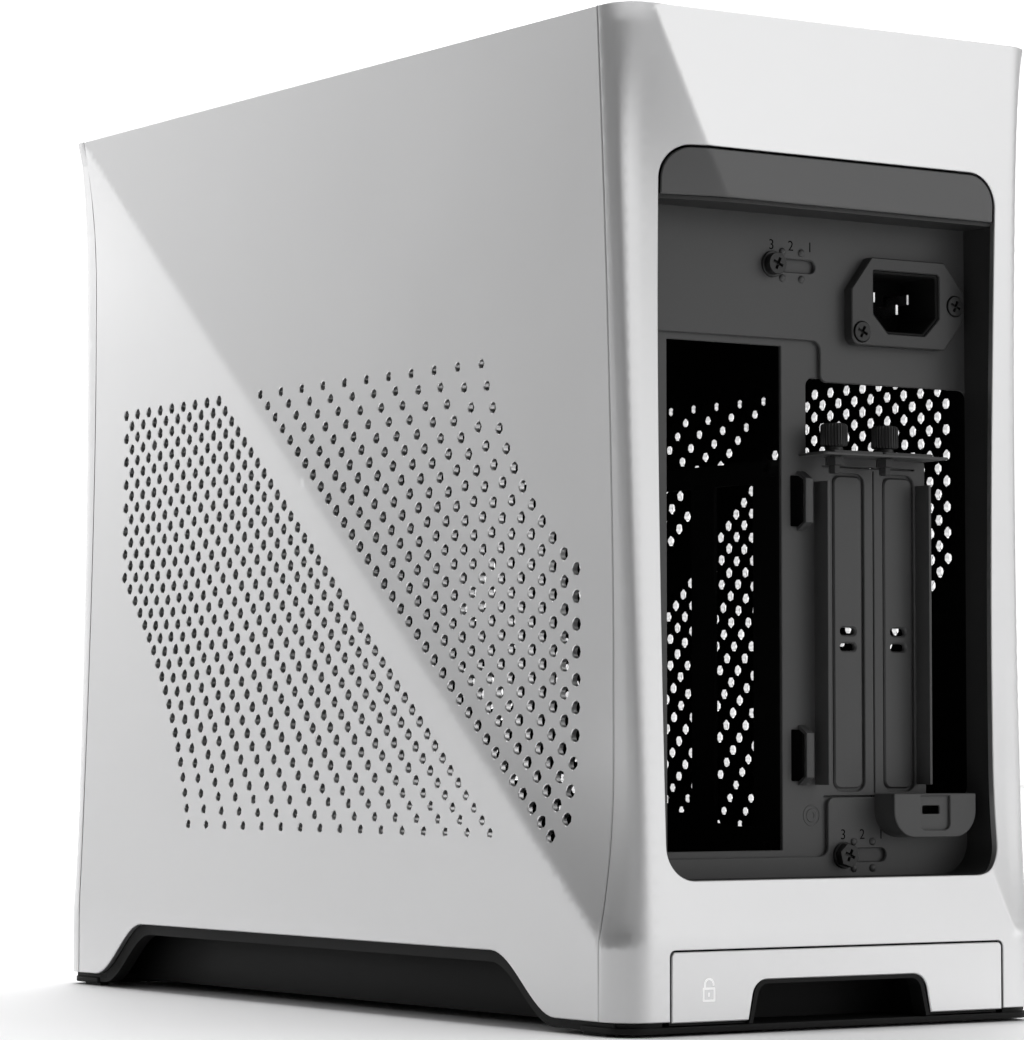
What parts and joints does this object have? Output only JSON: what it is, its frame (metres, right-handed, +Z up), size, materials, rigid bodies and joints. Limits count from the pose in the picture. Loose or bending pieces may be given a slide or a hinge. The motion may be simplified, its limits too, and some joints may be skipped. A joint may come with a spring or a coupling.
{
  "type": "desktop computer tower",
  "caption": "Compact upright computer case with folded perforated aluminium sides, a recessed black rear wall with an inlet and slot covers, and a pull-out base tray.",
  "frame": {"origin": "middle of the footprint, on the floor", "axes": "+X across the narrow side, +Y along the length towards the rear wall with the sockets, +Z up"},
  "size_m": [0.1656, 0.3666, 0.314],
  "materials": {
    "silver_aluminium": "fine matte anodised",
    "black_steel": "fine satin powder coat",
    "dark_band": "satin anodised",
    "black_plastic": "fine moulded grain",
    "inlet_plastic": "moulded",
    "rubber": "matt",
    "bright_steel": "nickel plated",
    "black_screw": "black oxide",
    "dark_mesh": "fine nylon mesh",
    "circuit_board": "solder mask",
    "brass": "turned",
    "lead_jacket": "smooth jacket"
  },
  "bodies": {
    "case": {"audio_jack": "inlet_plastic", "base_frame": "black_plastic", "button_housing": "black_plastic", "drive_bracket": "black_steel", "fan_frame_1": "black_plastic", "fan_frame_2": "black_plastic", "fan_screws": "black_screw", "floor_plate": "black_steel", "foot_pads": "rubber", "front_cover": "silver_aluminium", "front_wall": "black_steel", "inlet_housing": "inlet_plastic", "inlet_lead": "lead_jacket", "inlet_pins": "bright_steel", "inlet_plug": "black_plastic", "inlet_screws": "black_screw", "io_board": "circuit_board", "io_bracket": "black_steel", "psu_bracket": "black_steel", "radiator_bracket": "black_steel", "rear_band": "dark_band", "rear_bezel": "black_plastic", "rear_cover": "silver_aluminium", "rear_wall": "black_steel", "side_rails": "black_steel", "slot_foot_bracket": "black_steel", "top_frame": "black_steel", "usb_a_port_1": "bright_steel", "usb_a_port_2": "bright_steel", "usb_c_port": "bright_steel", "wall_screws": "black_screw"},
    "right_panel": {"right_side_panel": "silver_aluminium", "right_panel_clips": "bright_steel"},
    "left_panel": {"left_side_panel": "silver_aluminium", "left_panel_clips": "bright_steel"},
    "top": {"top_panel": "silver_aluminium", "top_mesh": "dark_mesh"},
    "spine": {"spine_plate": "black_steel", "spine_tray": "black_steel", "standoffs": "brass", "slot_cover_1": "black_steel", "slot_cover_2": "black_steel", "thumbscrew_1": "black_screw", "thumbscrew_2": "black_screw", "spine_screw_top": "black_screw", "spine_screw_bottom": "black_screw", "riser_board": "circuit_board", "riser_slot": "black_plastic"},
    "release_tray": {"tray_face": "silver_aluminium", "tray_carrier": "black_plastic"},
    "fan_rotor_rear": {"fan_rotor_1": "black_plastic"},
    "fan_rotor_front": {"fan_rotor_2": "black_plastic"},
    "dust_filter": {"dust_filter_frame": "black_plastic", "dust_filter_mesh": "dark_mesh"},
    "button": {"power_button": "silver_aluminium"}
  },
  "joints": [
    {"name": "spine_slide", "type": "slide", "parent": "case", "child": "spine", "axis": [-1, 0, 0], "range_m": [0, 0.015]},
    {"name": "release_tray_slide", "type": "slide", "parent": "case", "child": "release_tray", "axis": [0, 1, 0], "range_m": [0, 0.025]},
    {"name": "right_panel_pull", "type": "slide", "parent": "case", "child": "right_panel", "axis": [1, 0, 0], "range_m": [0, 0.06]},
    {"name": "left_panel_pull", "type": "slide", "parent": "case", "child": "left_panel", "axis": [-1, 0, 0], "range_m": [0, 0.06]},
    {"name": "top_lift", "type": "slide", "parent": "case", "child": "top", "axis": [0, 0, 1], "range_m": [0, 0.06]},
    {"name": "fan_rear_spin", "type": "hinge", "parent": "case", "child": "fan_rotor_rear", "pos_m": [0, 0.062, 0.04], "axis": [0, 0, 1], "continuous": true},
    {"name": "fan_front_spin", "type": "hinge", "parent": "case", "child": "fan_rotor_front", "pos_m": [0, -0.062, 0.04], "axis": [0, 0, 1], "continuous": true},
    {"name": "dust_filter_drop", "type": "slide", "parent": "case", "child": "dust_filter", "axis": [0, 0, -1], "range_m": [0, 0.015]},
    {"name": "power_button_press", "type": "slide", "parent": "case", "child": "button", "axis": [0, 1, 0], "range_m": [0, 0.0012], "stiffness_N_per_m": 600}
  ]
}
